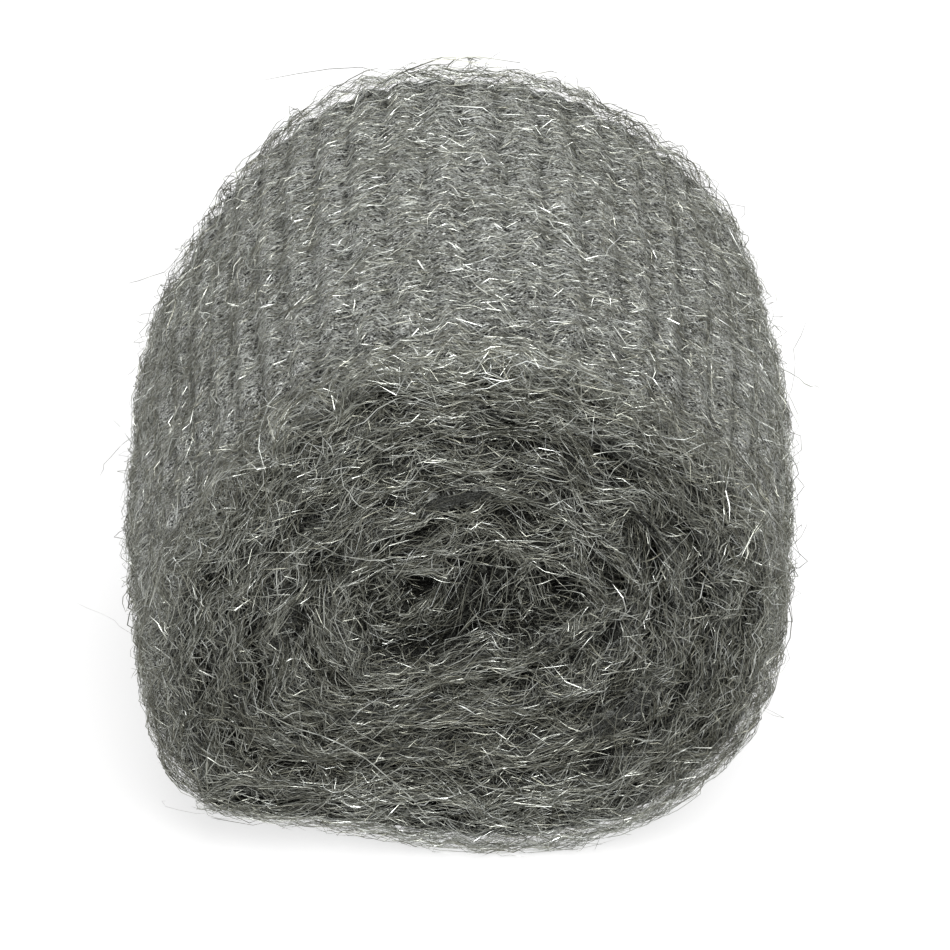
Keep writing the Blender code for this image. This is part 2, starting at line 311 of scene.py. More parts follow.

# Long fibres listed for the front end face, each by points across and up
CHOSEN_STRAYS = (
    ((-0.0321, 0.0325), (-0.0251, 0.0284), (-0.0177, 0.0245), (-0.0108, 0.0177), (-0.0055, 0.0090)),
    ((-0.0394, 0.0795), (-0.0379, 0.0811), (-0.0357, 0.0820), (-0.0328, 0.0815)),
    ((-0.0337, 0.0788), (-0.0305, 0.0756), (-0.0269, 0.0735)),
    ((-0.0010, 0.0678), (0.0024, 0.0696), (0.0053, 0.0701)),
    ((0.0024, 0.0478), (0.0113, 0.0480), (0.0202, 0.0464)),
    ((0.0135, 0.0456), (0.0187, 0.0503), (0.0261, 0.0482), (0.0292, 0.0433)),
    ((-0.0402, 0.0296), (-0.0368, 0.0303), (-0.0338, 0.0288), (-0.0299, 0.0281)),
    ((-0.0279, 0.0168), (-0.0216, 0.0172)),
    ((-0.0008, 0.0653), (0.0029, 0.0682), (0.0082, 0.0708)),
    ((0.0268, 0.0655), (0.0266, 0.0618), (0.0274, 0.0534)),
)
CHOSEN_WIDTH = 0.85
CHOSEN_STEP = 0.0022
CHOSEN_HEIGHT = 0.0009
CHOSEN_START = 0.1  # how far into its arch a chosen fibre starts, in radians
STRAY_AREA = (0.05, 0.8)  # least and most share of the end face within which a stray lies
STRAY_DIVE = 3.0  # how many times deeper than others its ends may dive

# Finish of the body: strands drawn on it have a heading, how many lie in a metre ahead and aside, their
# thinness and their strength
BODY_STRANDS = (
    (0.0, 480.0, 1200.0, 21.0, 1.0),
    (15.0, 520.0, 1100.0, 23.0, 0.9),
    (-18.0, 500.0, 1150.0, 23.0, 0.85),
    (46.0, 520.0, 1050.0, 30.0, 0.75),
)
# From the painted shade of deeper wool between the drawn strands up to the strands' bright steel
BODY_COLOURS = (
    (0.0, (0.022, 0.022, 0.020)),
    (0.35, (0.080, 0.081, 0.073)),
    (0.7, (0.400, 0.410, 0.388)),
    (1.0, (0.860, 0.880, 0.855)),
)
# Colour and strength of the painted shade in crevices, creases and grooves
PAINTED_SHADE_COLOUR = (0.10, 0.10, 0.09, 1.0)
PAINTED_SHADE_STRENGTH = 0.97
BODY_ROUGHNESS = (0.75, 0.32)
BODY_METALLIC = 0.9
BODY_RELIEF = 0.00025

# Finish of the fibres, with oil stains along them
FIBRE_COLOURS = (
    (0.0, (0.138, 0.137, 0.112)),
    (0.35, (0.330, 0.335, 0.300)),
    (0.7, (0.565, 0.585, 0.557)),
    (1.0, (0.725, 0.746, 0.736)),
)
FIBRE_ROUGHNESS = (0.42, 0.29)
STAIN_STRETCH = (60.0, 3.0, 1.0)
STAIN_EDGES = (0.42, 0.62)
STAIN_STRENGTH = 0.65
STAIN_COLOUR = (0.47, 0.46, 0.38, 1.0)

# The set: softboxes have a place, a point that they aim at, a size and a power in watts
SOFTBOXES = {
    "top_softbox": ((0.11, 0.04, 0.75), (0.0, 0.0, 0.05), 0.90, 3.9),
    "front_softbox": ((0.08, -0.40, 0.58), (0.0, -0.03, 0.05), 0.36, 3.9),
}
WHITE = (1.0, 1.0, 1.0, 1.0)
FLOOR_REACH = 2.5
FLOOR_COLOUR = (0.80, 0.80, 0.80, 1.0)
FLOOR_COLOUR_SEEN = (0.36, 0.36, 0.36, 1.0)
FLOOR_GLOW = 0.72
FLOOR_ROUGHNESS = 0.9
WORLD_LIGHT = 0.36

# Camera, worked out for a frame of 950 by 950
LENS = 247.5
SENSOR = 36.0
NEAREST = 0.05
CAMERA_DISTANCE = 1.0
CAMERA_ELEVATION = 38.24
CAMERA_AZIMUTH = -1.59
CAMERA_TARGET = Vector((0.00265, 0.0, 0.04608))

MIDDLE = np.array((0.0, ROLL_HEIGHT / 2))
HOLLOW_MIDDLE = MIDDLE + np.array((HOLLOW_RIGHT, HOLLOW_UP))
TURNS = WHOLE_TURNS + ((FOLD_ANGLE - TAIL_ANGLE) % 360) / 360
FOLD_TURN = FOLD_LENGTH / 360
TAIL_TURN = TAIL_LENGTH / 360
SLACK_TURN = TAIL_SLACK_LENGTH / 360


def smooth_step(share):
    share = np.clip(share, 0.0, 1.0)
    return share * share * (3 - 2 * share)


def direction(turn):
    """Angle in radians at a place on the ribbon, counted in turns from the wall end of its inner fold."""
    return math.radians(TAIL_ANGLE) + 2 * math.pi * (TURNS - turn)


def lopsided_ring(angle):
    """The outer outline before it is given its width and height."""
    bulge = LEAN * np.sin(2 * angle) - SAG * np.sin(3 * angle) + CORNERS * np.sin(4 * angle)
    from_tail = (np.degrees(angle) - TAIL_ANGLE + 180) % 360 - 180
    tail_bulge = TAIL_BULGE * np.exp(-((from_tail / TAIL_BULGE_SPREAD) ** 2))
    reach = ROLL_HEIGHT / 2 + bulge - SKEW * np.cos(3 * angle) + tail_bulge
    return np.stack((reach * np.cos(angle), reach * np.sin(angle)), axis=-1)


RING = lopsided_ring(np.radians(np.arange(0.0, 360.0, 0.5)))
RING_LOW = RING.min(axis=0)
RING_HIGH = RING.max(axis=0)
RING_MIDDLE = (RING_HIGH + RING_LOW) / 2
RING_STRETCH = np.array((ROLL_WIDTH, ROLL_HEIGHT + FLAT_SPOT_DEPTH)) / (RING_HIGH - RING_LOW)


def outside(angle):
    """The outer outline halfway along the roll, before its underside is pressed flat."""
    ring = (lopsided_ring(angle) - RING_MIDDLE) * RING_STRETCH
    return ring + MIDDLE - (0.0, FLAT_SPOT_DEPTH / 2)


def hollow(angle):
    oval = np.stack((HOLLOW_WIDTH / 2 * np.cos(angle), HOLLOW_HEIGHT / 2 * np.sin(angle)), axis=-1)
    return HOLLOW_MIDDLE + oval


def depth_at(angle):
    """Thickness of all the turns together, at an angle."""
    return np.linalg.norm(outside(angle) - hollow(angle), axis=-1)


def between(angle, share):
    """A point on the way from the hollow's wall (share 0) to the outside (share 1)."""
    share = np.asarray(share)[..., None]
    return (1 - share) * hollow(angle) + share * outside(angle)


def layer(turn):
    """Share of the way out at which the ribbon's inner side lies."""
    past_tail = turn - TURNS
    lap = np.floor(past_tail)
    lap_share = past_tail - lap
    step = smooth_step((lap_share - 1 + TAIL_TURN) / TAIL_TURN)
    even = (TURNS + lap + (1 - TAIL_STEP) * lap_share + TAIL_STEP * step) / TURNS
    waver = TURN_WAVER / depth_at(direction(turn)) * np.sin(WAVER_RATE * turn) * np.sin(math.pi * even) ** 2
    return even * (1 - TAIL_TIP / depth_at(direction(turn))) + waver


def gap_above(turn):
    """Gap between the ribbon and the turn that covers it."""
    slack = np.clip((turn + 1 - TURNS + SLACK_TURN) / SLACK_TURN, 0.0, 1.0)
    return TURN_GAP + TAIL_SLACK * np.sin(math.pi * slack) ** 2


def fold_rise():
    """Height of the folded inner end, which parts the hollow into two pits."""
    roof_turn = ((FOLD_ANGLE - 90) % 360) / 360
    roof = between(direction(roof_turn), layer(roof_turn))
    floor = between(direction(-FOLD_TURN / 2), layer(0.0))
    return roof[1] - floor[1] - FOLD_CLEARANCE


def inner_side(turn):
    """The side of the ribbon that faces the hollow, with its folded inner end at turns below 0."""
    angle = direction(turn)
    side = between(angle, layer(np.maximum(turn, 0.0)))
    folded = np.clip(-turn / FOLD_TURN, 0.0, 1.0)
    side[..., 1] += fold_rise() * np.sin(math.pi * folded) ** FOLD_SHAPE
    return side


def outward_side(turn):
    """The side of the ribbon that faces outward, without its ribs."""
    angle = direction(turn)
    share = np.where(turn > TURNS - 1, 1.0, layer(turn + 1) - gap_above(turn) / depth_at(angle))
    return between(angle, share)


def tuft_rise(along, y):
    """How far the outside stands up at its staggered tufts, at a place round the roll and along it."""
    column = np.sin(2 * math.pi * along / TUFT_LENGTH + TUFT_STRAY * np.sin(math.pi * y / TUFT_WIDTH))
    row = np.sin(2 * math.pi * y / TUFT_WIDTH + TUFT_STRAY * np.sin(math.pi * along / TUFT_LENGTH))
    return TUFT_HEIGHT / 2 * column * row


def groove(y):
    """Share of its depth that the groove behind an edge has, at a place along the roll."""
    return np.exp(-(((END - np.abs(y) - GROOVE_PLACE) / GROOVE_WIDTH) ** 2))


def pocket_depth(turn, across):
    """How far the pockets draw the wool back, at a place on the ribbon and a share of its thickness."""
    deepest = np.zeros(np.shape(turn))
    for angle, level, half_angle, half_width, depth_share in POCKETS:
        ahead = (turn - TURNS + (angle - TAIL_ANGLE) / 360 + 0.5) % 1 - 0.5
        beside = turn + across - ahead - level
        opened = np.exp(-((360 * ahead / half_angle) ** 4) - (beside / half_width) ** 2)
        deepest = np.maximum(deepest, POCKET_DEPTH * depth_share * opened)
    return deepest


def fold_sink(turn):
    """How far the loose folded end lies behind the face that surrounds it."""
    return FOLD_SINK * smooth_step((FOLD_SINK_TURNS - turn) / FOLD_SINK_TURNS)


def thickness(turn):
    """Thickness of the ribbon. In its fold it is that of the turn below."""
    angle = direction(turn)
    outer = np.where(turn > TURNS - 1, 1.0, layer(turn + 1) - gap_above(turn) / depth_at(angle))
    return (outer - layer(np.maximum(turn, 0.0))) * depth_at(angle)


def lengths_along(places):
    return np.concatenate(([0.0], np.cumsum(np.linalg.norm(np.diff(places, axis=0), axis=1))))


# Lengths measured along the ribbon's outward side, and round the outermost turn
RIBBON_TURNS = np.linspace(-FOLD_TURN, TURNS, 4 * FINE_STEPS)
RIBBON_LENGTHS = lengths_along(outward_side(RIBBON_TURNS))
LAST_TURNS = np.linspace(TURNS - 1, TURNS, FINE_STEPS)
LAST_LENGTHS = lengths_along(outside(direction(LAST_TURNS)))
ROUND = LAST_LENGTHS[-1]
RIBS = round(ROUND / RIB_PITCH)
RIB = ROUND / RIBS


def faded_at_tail(turn):
    """Share of the ribs' and tufts' height on the outermost turn: they fade beside the outer end."""
    return smooth_step(np.minimum(turn - TURNS + 1, TURNS - turn) * 360 / RIB_FADE)


def rib_valley(place):
    """How far a place round the outermost turn, counted in ribs, lies into a valley between two ribs."""
    return 1 - np.abs(np.sin(math.pi * place))


def turn_at(place):
    """The turn at a place round the outermost turn, counted in ribs."""
    return np.interp(place % RIBS / RIBS, LAST_LENGTHS / ROUND, LAST_TURNS)


def rib_show(turn, y):
    """Share of its painted shade and depth that a crease between two ribs keeps."""
    off_angle = (np.degrees(direction(turn)) % 360 - WORN_ANGLE) / WORN_ANGLE_SPREAD
    off_place = (y - WORN_PLACE) / WORN_LENGTH
    return 1 - WORN_SHARE * np.exp(-(off_angle**2) - off_place**2)


def rib_crease(place):
    """How far a place lies in the narrow crease at the bottom of a valley."""
    return rib_valley(place) ** 3


def surface_rise(turn, place, y, follow=1.0):
    """Height of ribs, tufts and grooves over the plain outside, for wool that follows the ribs that far."""
    ribs = -RIB_DEPTH * follow * rib_valley(place)
    return (ribs + tuft_rise(place * RIB, y)) * faded_at_tail(turn) - GROOVE_DEPTH * groove(y)


def rim_rounding(turn):
    return np.minimum(RIM_ROUNDING, RIM_SHARE * thickness(turn))


def end_lie(x, z, side):
    """How far back an end face lies, because it is dished, crowned and uneven."""
    off_x = x - HOLLOW_MIDDLE[0]
    off_z = z - HOLLOW_MIDDLE[1]
    out = np.minimum(1.0, np.hypot(off_x, off_z) / (ROLL_HEIGHT / 2))
    angle = np.arctan2(off_z, off_x)
    back = END_DISH * (1 - out * out) ** 2 + END_CROWN * out**CROWN_POWER
    return back + END_WAVE * out * np.sin(2 * angle + side)


def barrelled(section, y):
    """The section at a place along the roll: it is smaller towards the ends, and pressed flat underneath."""
    shrink = 1 - BARREL / (ROLL_HEIGHT / 2) * np.minimum(1.0, (y / END) ** 2)
    section = MIDDLE + (section - MIDDLE) * np.asarray(shrink)[..., None]
    section[..., 1] = np.maximum(section[..., 1], GROUND)
    return section


def shifted_back(x, y, z, pocket):
    """A place along the roll, moved by the lie of the nearer end face and, in front, by its pockets."""
    side = np.sign(y)
    back = end_lie(x, z, side) + np.where(side < 0, pocket, 0.0)
    return y - side * back * np.minimum(1.0, np.abs(y / END)) ** 3


def facet_turns(side, start, end):
    """Turns at which a side gets its points, so that no facet is long or bends far."""
    fine = np.linspace(start, end, FINE_STEPS)
    length = np.diff(lengths_along(side(fine))) / FACET_LENGTH
    bend = np.diff(fine) * 360 / FACET_ANGLE
    effort = np.concatenate(([0.0], np.cumsum(np.maximum(length, bend))))
    count = math.ceil(effort[-1]) + 1
    return np.interp(np.linspace(0.0, effort[-1], count), effort, fine)


def fold_nose():
    """Points round the blunt inner end, from the ribbon's inner side to its outer side."""
    start = inner_side(np.array([-FOLD_TURN]))
    across = outward_side(np.array([-FOLD_TURN])) - start
    ahead = np.array((-across[0, 1], across[0, 0])) / np.linalg.norm(across)
    swing = np.linspace(0.0, math.pi, NOSE_POINTS + 2)[1:-1, None]
    return start + across * (1 - np.cos(swing)) / 2 + ahead * FOLD_NOSE * np.sin(swing)


def body_outline():
    """The wound outline: its points, where each heads when it is drawn in, its turn, its share across the
    ribbon, its place round the outside in ribs, its way out if it is on the outside, and its inset."""
    covered = facet_turns(outward_side, -FOLD_TURN, TURNS - 1)
    place = np.arange(1, RIBS * POINTS_PER_RIB) / POINTS_PER_RIB
    ribbed = np.interp(place / RIBS, LAST_LENGTHS / ROUND, LAST_TURNS)
    inner = facet_turns(inner_side, -FOLD_TURN, TURNS)[::-1]
    tail = np.array([TURNS])
    nose = np.full(NOSE_POINTS, -FOLD_TURN)

    out = outside(direction(ribbed))
    outward = out - MIDDLE
    outward /= np.linalg.norm(outward, axis=1)[:, None]
    facing_out = (outward_side(covered), out, outside(direction(tail)))
    outline = np.concatenate((*facing_out, inner_side(inner), fold_nose()))
    opposite = (inner_side(covered), inner_side(ribbed), inner_side(tail), outward_side(inner))
    middle = (inner_side(nose) + outward_side(nose)) / 2
    opposite = np.concatenate((*opposite, 2 * middle - fold_nose()))
    turns = np.concatenate((covered, ribbed, tail, inner, nose))
    on_top = slice(len(covered), len(covered) + len(ribbed))
    across = np.zeros(len(turns))
    across[: len(covered) + len(ribbed) + 1] = 1.0
    places = np.zeros(len(turns))
    places[on_top] = place
    out_way = np.zeros((len(turns), 2))
    out_way[on_top] = outward
    inset = np.full(len(turns), COVERED_INSET)
    inset[on_top] = BODY_INSET
    return outline, opposite, turns, across, places, out_way, inset


def drawn_in(outline, opposite, amount):
    """The outline, with each point moved towards the one opposite it on the ribbon's other side."""
    across = opposite - outline
    wall = np.linalg.norm(across, axis=1)
    return outline + across * (np.minimum(amount, RIM_SHARE * wall) / wall)[:, None]


def stations():
    """Places along the roll, each with the share of the rim's rounding that it shows."""
    end = END - BODY_END_INSET
    flat = end - RIM_LENGTH
    near = [(flat * step / FLAT_STEPS, 0.0) for step in range(FLAT_STEPS)]
    for step in range(RIM_STEPS + 1):
        swing = math.pi / 2 * step / RIM_STEPS
        near.append((flat + RIM_LENGTH * math.sin(swing), 1 - math.cos(swing)))
    return [(-y, share) for y, share in near[:0:-1]] + near


def lumpy(place):
    """A place moved a little, because wool is never even. Near places move alike."""
    moved = place + noise.noise_vector(place / LUMP_SIZE) * LUMP_HEIGHT
    moved.z = max(moved.z, 0.0)
    return moved


def loft(bm, sections, marks):
    """A closed body through a row of sections with equally many points, each marked with its winding."""
    number_of = bm.verts.layers.int.new("number")
    winding = bm.verts.layers.float_vector.new("winding")
    (first_y, first), *others = sections
    ring = [bm.verts.new((x, first_y, z)) for x, z in first]
    for number, vert in enumerate(ring):
        vert[number_of] = number
    edges = [bm.edges.new((ring[number - 1], ring[number])) for number in range(len(ring))]
    bm.faces.new(ring)
    rings = [ring]
    for y, section in others:
        grown = bmesh.ops.extrude_edge_only(bm, edges=edges)["geom"]
        edges = [part for part in grown if isinstance(part, bmesh.types.BMEdge)]
        ring = [part for part in grown if isinstance(part, bmesh.types.BMVert)]
        ring.sort(key=lambda vert: vert[number_of])
        for vert, (x, z) in zip(ring, section):
            vert.co = (x, y, z)
        rings.append(ring)
    bm.faces.new(ring)
    for ring, (places_along, ring_marks) in zip(rings, marks):
        for vert, place, mark in zip(ring, places_along, ring_marks):
            vert.co.y = place
            vert[winding] = mark


def body_mesh():
    """The wound body. Its winding attribute holds the way along the ribbon, the way across it (which runs
    on over the end faces), and how much painted shade a point gets in a crevice, crease or groove."""
    outline, opposite, turns, across, places, out_way, inset = body_outline()
    along = np.interp(turns, RIBBON_TURNS, RIBBON_LENGTHS)
    on_top = (out_way**2).sum(axis=1) > 0
    rounding = rim_rounding(turns)
    pockets = pocket_depth(turns, across) + fold_sink(turns)
    widened = 1 + np.where(across > 0, 0.0, thickness(turns)) / END
    closed = 1 - np.minimum(pockets / POCKET_DEPTH, 1.0)
    # Painted light on the end faces' rims: none near the hollow, less in pockets, most from the first turn
    # out
    painted_rim_light = np.interp(turns, PAINTED_LIGHT_TURNS, (0.0, RIM_PAINTED_LIGHT)) * closed
    sections = []
    marks = []
    for y, share in stations():
        raised = outline + out_way * surface_rise(turns, places, y)[:, None]
        section = barrelled(drawn_in(raised, opposite, inset + rounding * share), y)
        sections.append((y, section))
        # Painted shade: in the creases between ribs and in the grooves on the outside, in the crevices
        # between turns elsewhere, less on the rims
        creases = CREASE_PAINTED_SHADE * rib_crease(places) * faded_at_tail(turns) * rib_show(turns, y)
        valley = np.minimum(creases + groove(y) * GROOVE_PAINTED_SHADE, 1.0)
        painted_shade = np.where(on_top, valley, 1.0 - painted_rim_light * share)
        back = shifted_back(section[:, 0], np.full(len(section), y), section[:, 1], pockets)
        marks.append((back, np.stack((along, y * widened, painted_shade), axis=1)))
    bm = bmesh.new()
    loft(bm, sections, marks)
    bm.normal_update()
    caps = [face for face in bm.faces if len(face.verts) > 4]
    bmesh.ops.triangulate(bm, faces=caps)
    for vert in bm.verts:
        vert.co = lumpy(vert.co)
    bmesh.ops.recalc_face_normals(bm, faces=bm.faces)
    mesh = bpy.data.meshes.new("wool_body")
    bm.to_mesh(mesh)
    bm.free()
    mesh.shade_smooth()
    return mesh


# Places for fibres

def on_outside(place, y, height, follow=1.0):
    """Points on the roll's outside: ribs counted round it, place along it, and height over it."""
    turn = turn_at(place)
    section = outside(direction(turn))
    outward = section - MIDDLE
    outward /= np.linalg.norm(outward, axis=-1)[..., None]
    past = np.clip((np.abs(y) - END + RIM_LENGTH) / RIM_LENGTH, 0.0, None)
    rim = np.where(past < 1, 1 - np.sqrt(np.clip(1 - past**2, 0.0, 1.0)), past)
    lift = height + surface_rise(turn, place, y, follow) - RIM_ROUNDING * rim
    section = barrelled(section + outward * lift[..., None], y)
    x, z = section[..., 0], section[..., 1]
    return np.stack((x, shifted_back(x, y, z, pocket_depth(turn, 1.0)), z), axis=-1)


def on_end(turn, across, height, follow, side):
    """Points on an end face: turn of the ribbon, share across it, and height over the face."""
    inner = inner_side(turn)
    outer = outward_side(turn)
    across = np.where(turn > TURNS - 1, np.minimum(across, OUTERMOST_REACH), across)
    section = inner + (outer - inner) * across[..., None]
    wall = thickness(turn)
    from_edge = np.minimum(across % 1, 1 - across % 1) * wall
    inside_rim = np.clip(1 - from_edge / rim_rounding(turn), 0.0, 1.0)
    sunk = follow * RIM_LENGTH * (1 - np.sqrt(1 - inside_rim**2))
    if side == FRONT:
        sunk = sunk + pocket_depth(turn, across) * np.clip(follow + POCKET_FOLLOW, 0.0, 1.0)
    y = side * (END - sunk - fold_sink(turn) + height)
    section = barrelled(section, np.full(np.shape(y), END))
    x, z = section[..., 0], section[..., 1]
    return np.stack((x, y - side * end_lie(x, z, side), z), axis=-1)


def on_face(x, z, height, side):
    """Points over an end face at a place across and up, whatever the winding below does."""
    return np.stack((x, side * (END + height - end_lie(x, z, side)), np.maximum(z, GROUND)), axis=-1)


def wool_lie(seed, shortest, longest, sway, turned_aside):
    """A heading that fibres near each other share. It sways smoothly from place to place."""
    rng = np.random.default_rng(seed)
    lengths = rng.uniform(shortest, longest, LIE_WAVES)
    ways = rng.uniform(-turned_aside, turned_aside, LIE_WAVES)
    starts = rng.uniform(0, 2 * math.pi, LIE_WAVES)

    def heading(ahead, aside):
        total = 0.0
        for length, way, start in zip(lengths, ways, starts):
            crossed = (ahead * math.cos(way) + aside * math.sin(way)) / length
            total = total + np.sin(2 * math.pi * crossed + start)
        return sway * math.sqrt(2 / LIE_WAVES) * total

    return heading


outside_lie = wool_lie(*OUTSIDE_LIE)
end_lie_of_wool = wool_lie(*END_LIE)


def laid(rng, ahead, aside, heading, reach, segments, run, lie):
    """Ways ahead and aside at each fibre's points: step by step it follows the lie of the wool."""
    curl = rng.normal(0, run.curl, len(heading))
    each = reach / segments
    ahead = ahead - reach / 2 * np.cos(heading)
    aside = aside - reach / 2 * np.sin(heading)
    ways = [(ahead, aside)]
    for step in range(segments):
        bend = curl * ((step + 0.5) / segments - 0.5)
        way = heading + lie(ahead, aside) + bend + rng.normal(0, run.kink, len(heading))
        ahead = ahead + each * np.cos(way)
        aside = aside + each * np.sin(way)
        ways.append((ahead, aside))
    return [np.stack(part, axis=1) for part in zip(*ways)]


def wander(rng, heading, reach, segments, run):
    """Ways ahead and aside of each fibre's points from its middle, for its heading and length."""
    curl = rng.normal(0, run.curl, (len(heading), 1))
    step = (np.arange(segments) + 0.5) / segments - 0.5
    headings = heading[:, None] + curl * step + rng.normal(0, run.kink, (len(heading), segments))
    each = (reach / segments)[:, None]
    ways = []
    for part in (np.cos(headings), np.sin(headings)):
        way = np.concatenate((np.zeros((len(heading), 1)), np.cumsum(each * part, axis=1)), axis=1)
        ways.append(way - way.mean(axis=1, keepdims=True))
    return ways


def in_locks(rng, spread_out, in_lock, share_loose):
    """Picks, for each fibre, a place of its own or one in a lock of wool."""
    loose = rng.random(len(spread_out[0])) < share_loose
    return [np.where(loose, own, lock) for own, lock in zip(spread_out, in_lock)]


def random_headings(rng, family, share_wild):
    """Headings near the winding, with a share that cross it at any angle."""
    wild = rng.random(family.count) < share_wild
    any_way = rng.uniform(-math.pi / 2, math.pi / 2, family.count)
    return np.where(wild, any_way, rng.normal(0, family.spread, family.count))


def random_places(rng, count):
    """Places round the outside, in ribs: most on the ribs that can be seen, few in creases and underneath."""
    places = rng.uniform(0, RIBS, SPARE_PLACES * count)
    height = outside(direction(turn_at(places)))[:, 1] / ROLL_HEIGHT
    share = np.interp(height, PLACED_HEIGHTS, PLACED_SHARES)
    kept = rng.random(SPARE_PLACES * count) < share * (1 - RIB_THINNING * rib_crease(places))
    return places[kept][:count]


def random_rows(rng, count):
    """Places along the roll: fewer in the groove behind an edge."""
    rows = rng.uniform(-END, END, SPARE_ROWS * count)
    return rows[rng.random(SPARE_ROWS * count) < 1 - GROOVE_THINNING * groove(rows)][:count]


def random_shares(rng, count):
    return rng.uniform(0, 1, count)


def random_lengths(rng, family, spread=LENGTH_SPREAD):
    return family.length * rng.lognormal(0, spread, family.count)


def random_heights(rng, family, run):
    """Heights of each fibre's points over the wool."""
    level = rng.uniform(family.low, family.high, (family.count, 1))
    return level + rng.normal(0, run.rise_kink, (family.count, family.segments + 1))


def kept_near(y, overhang):
    """Places along the roll, kept from passing its end faces by more than an overhang."""
    return np.clip(y, -END - overhang, END + overhang)


def gathered(rng, family, kind, places_for, rows_for):
    """Place, row and heading of each fibre of a family, some of them gathered in locks of wool."""
    count = family.count
    locks = count // LOCK_MEMBERS
    lock = rng.integers(locks, size=count)
    lock_heading = rng.normal(0, family.spread * kind.sway, locks)[lock]
    spread_out = (
        places_for(rng, count),
        rows_for(rng, count),
        random_headings(rng, family, kind.wild),
    )
    in_lock = (
        places_for(rng, locks)[lock] + rng.normal(0, kind.place_spread, count),
        rows_for(rng, locks)[lock] + rng.normal(0, kind.row_spread, count),
        lock_heading + rng.normal(0, family.spread / 2, count),
    )
    return in_locks(rng, spread_out, in_lock, kind.loose)


def outside_fibres(rng, family):
    """Short crimped fibres that lie round the outside, and dive in and out of the wool."""
    place, y, heading = gathered(rng, family, OUTSIDE_LOCKS, random_places, random_rows)
    reach = random_lengths(rng, family, OUTSIDE_LENGTH_SPREAD)
    ahead, ys = laid(rng, place * RIB, y, heading, reach, family.segments, OUTSIDE_RUN, outside_lie)
    places = ahead / RIB
    heights = random_heights(rng, family, OUTSIDE_RUN)
    heights[:, (0, -1)] -= DIVE
    heights -= RIB_DIVE * rib_crease(places) * rib_show(turn_at(places), ys) + GROOVE_DIVE * groove(ys)
    follow = rng.uniform(*OUTSIDE_FOLLOW, (family.count, 1))
    return on_outside(places, kept_near(ys, LAID_OVERHANG), heights, follow)


def rim_fibres(rng, family, side):
    """Longer fibres combed along the rim of an end face, between it and the groove."""
    place = rng.uniform(0, RIBS, family.count)
    y = side * (END - rng.uniform(0.0, GROOVE_PLACE, family.count))
    reach = random_lengths(rng, family, RIM_LENGTH_SPREAD)
    heading = rng.normal(0, family.spread, family.count)
    ahead, ys = laid(rng, place * RIB, y, heading, reach, family.segments, RIM_RUN, outside_lie)
    heights = random_heights(rng, family, RIM_RUN)
    heights[:, (0, -1)] -= DIVE
    return on_outside(ahead / RIB, kept_near(ys, LAID_OVERHANG), heights, RIM_FOLLOW)


def winding_speed():
    """Length of ribbon in each turn, along its outward side."""
    return np.gradient(RIBBON_LENGTHS, RIBBON_TURNS)


def turns_by_area(rng, count):
    area = np.cumsum(winding_speed() * thickness(RIBBON_TURNS))
    return np.interp(rng.uniform(0, area[-1], count), area, RIBBON_TURNS)


def laid_on_end(rng, family, turn, across, heading, reach, follow, side):
    """Fibres laid on an end face from their turns and shares across the ribbon."""
    segments = family.segments
    wall = np.maximum(thickness(turn), THINNEST_WALL)
    start = np.interp(turn, RIBBON_TURNS, RIBBON_LENGTHS)
    ahead, aside = laid(rng, start, across * wall, heading, reach, segments, END_RUN, end_lie_of_wool)
    turns = np.interp(ahead, RIBBON_LENGTHS, RIBBON_TURNS)
    shares = np.clip(aside / wall[:, None], *END_REACH)
    heights = random_heights(rng, family, END_RUN)
    heights += rng.normal(0, END_SLANT, (family.count, 1)) * np.linspace(-1, 1, segments + 1)
    heights[:, (0, -1)] -= DIVE
    return on_end(turns, shares, heights, follow[:, None], side)


def gap_bridges(rng, family, side):
    """Fibres that bridge the gap round the outermost turn's inner side."""
    turn = rng.uniform(TURNS - 2, TURNS - 1, family.count)
    across = rng.normal(1.0, BRIDGE_SPREAD, family.count)
    heading = random_headings(rng, family, BRIDGE_WILD)
    reach = random_lengths(rng, family)
    return laid_on_end(rng, family, turn, across, heading, reach, np.zeros(family.count), side)


def end_fibres(rng, family, side):
    """Fibres that lie on an end face along the winding, and more or less follow the rims of its turns."""
    turn, across, heading = gathered(rng, family, END_LOCKS, turns_by_area, random_shares)
    reach = random_lengths(rng, family)
    from_tail = [TURNS - place for place in FOLLOW_PLACES]
    follow = rng.uniform(0, END_FOLLOW, family.count) * np.interp(turn, from_tail, FOLLOW_SHARES)
    return laid_on_end(rng, family, turn, across, heading, reach, follow, side)


def hollow_fibres(rng, family, side):
    """A tangle of curled fibres in and round the hollow: most over its folded middle, few over its pits."""
    count = family.count
    off_x = rng.normal(*HOLLOW_ACROSS, count) * HOLLOW_WIDTH / 2
    off_z = rng.uniform(*HOLLOW_UPWARD, count) * HOLLOW_HEIGHT / 2
    depth = rng.uniform(*HOLLOW_DEPTHS, count)
    reach = family.length * rng.uniform(*HOLLOW_LENGTHS, count)
    heading = rng.uniform(0, 2 * math.pi, count)
    ahead, aside = wander(rng, heading, reach, family.segments, HOLLOW_RUN)
    dive = np.sin(rng.normal(0, HOLLOW_TILT, count)) * reach
    xs = (HOLLOW_MIDDLE[0] + off_x)[:, None] + ahead
    zs = (HOLLOW_MIDDLE[1] + off_z)[:, None] + aside
    below = depth[:, None] + dive[:, None] * np.linspace(-0.5, 0.5, family.segments + 1)
    return np.stack((xs, side * (END - END_DISH - np.maximum(below, -HOLLOW_PROUD)), zs), axis=-1)


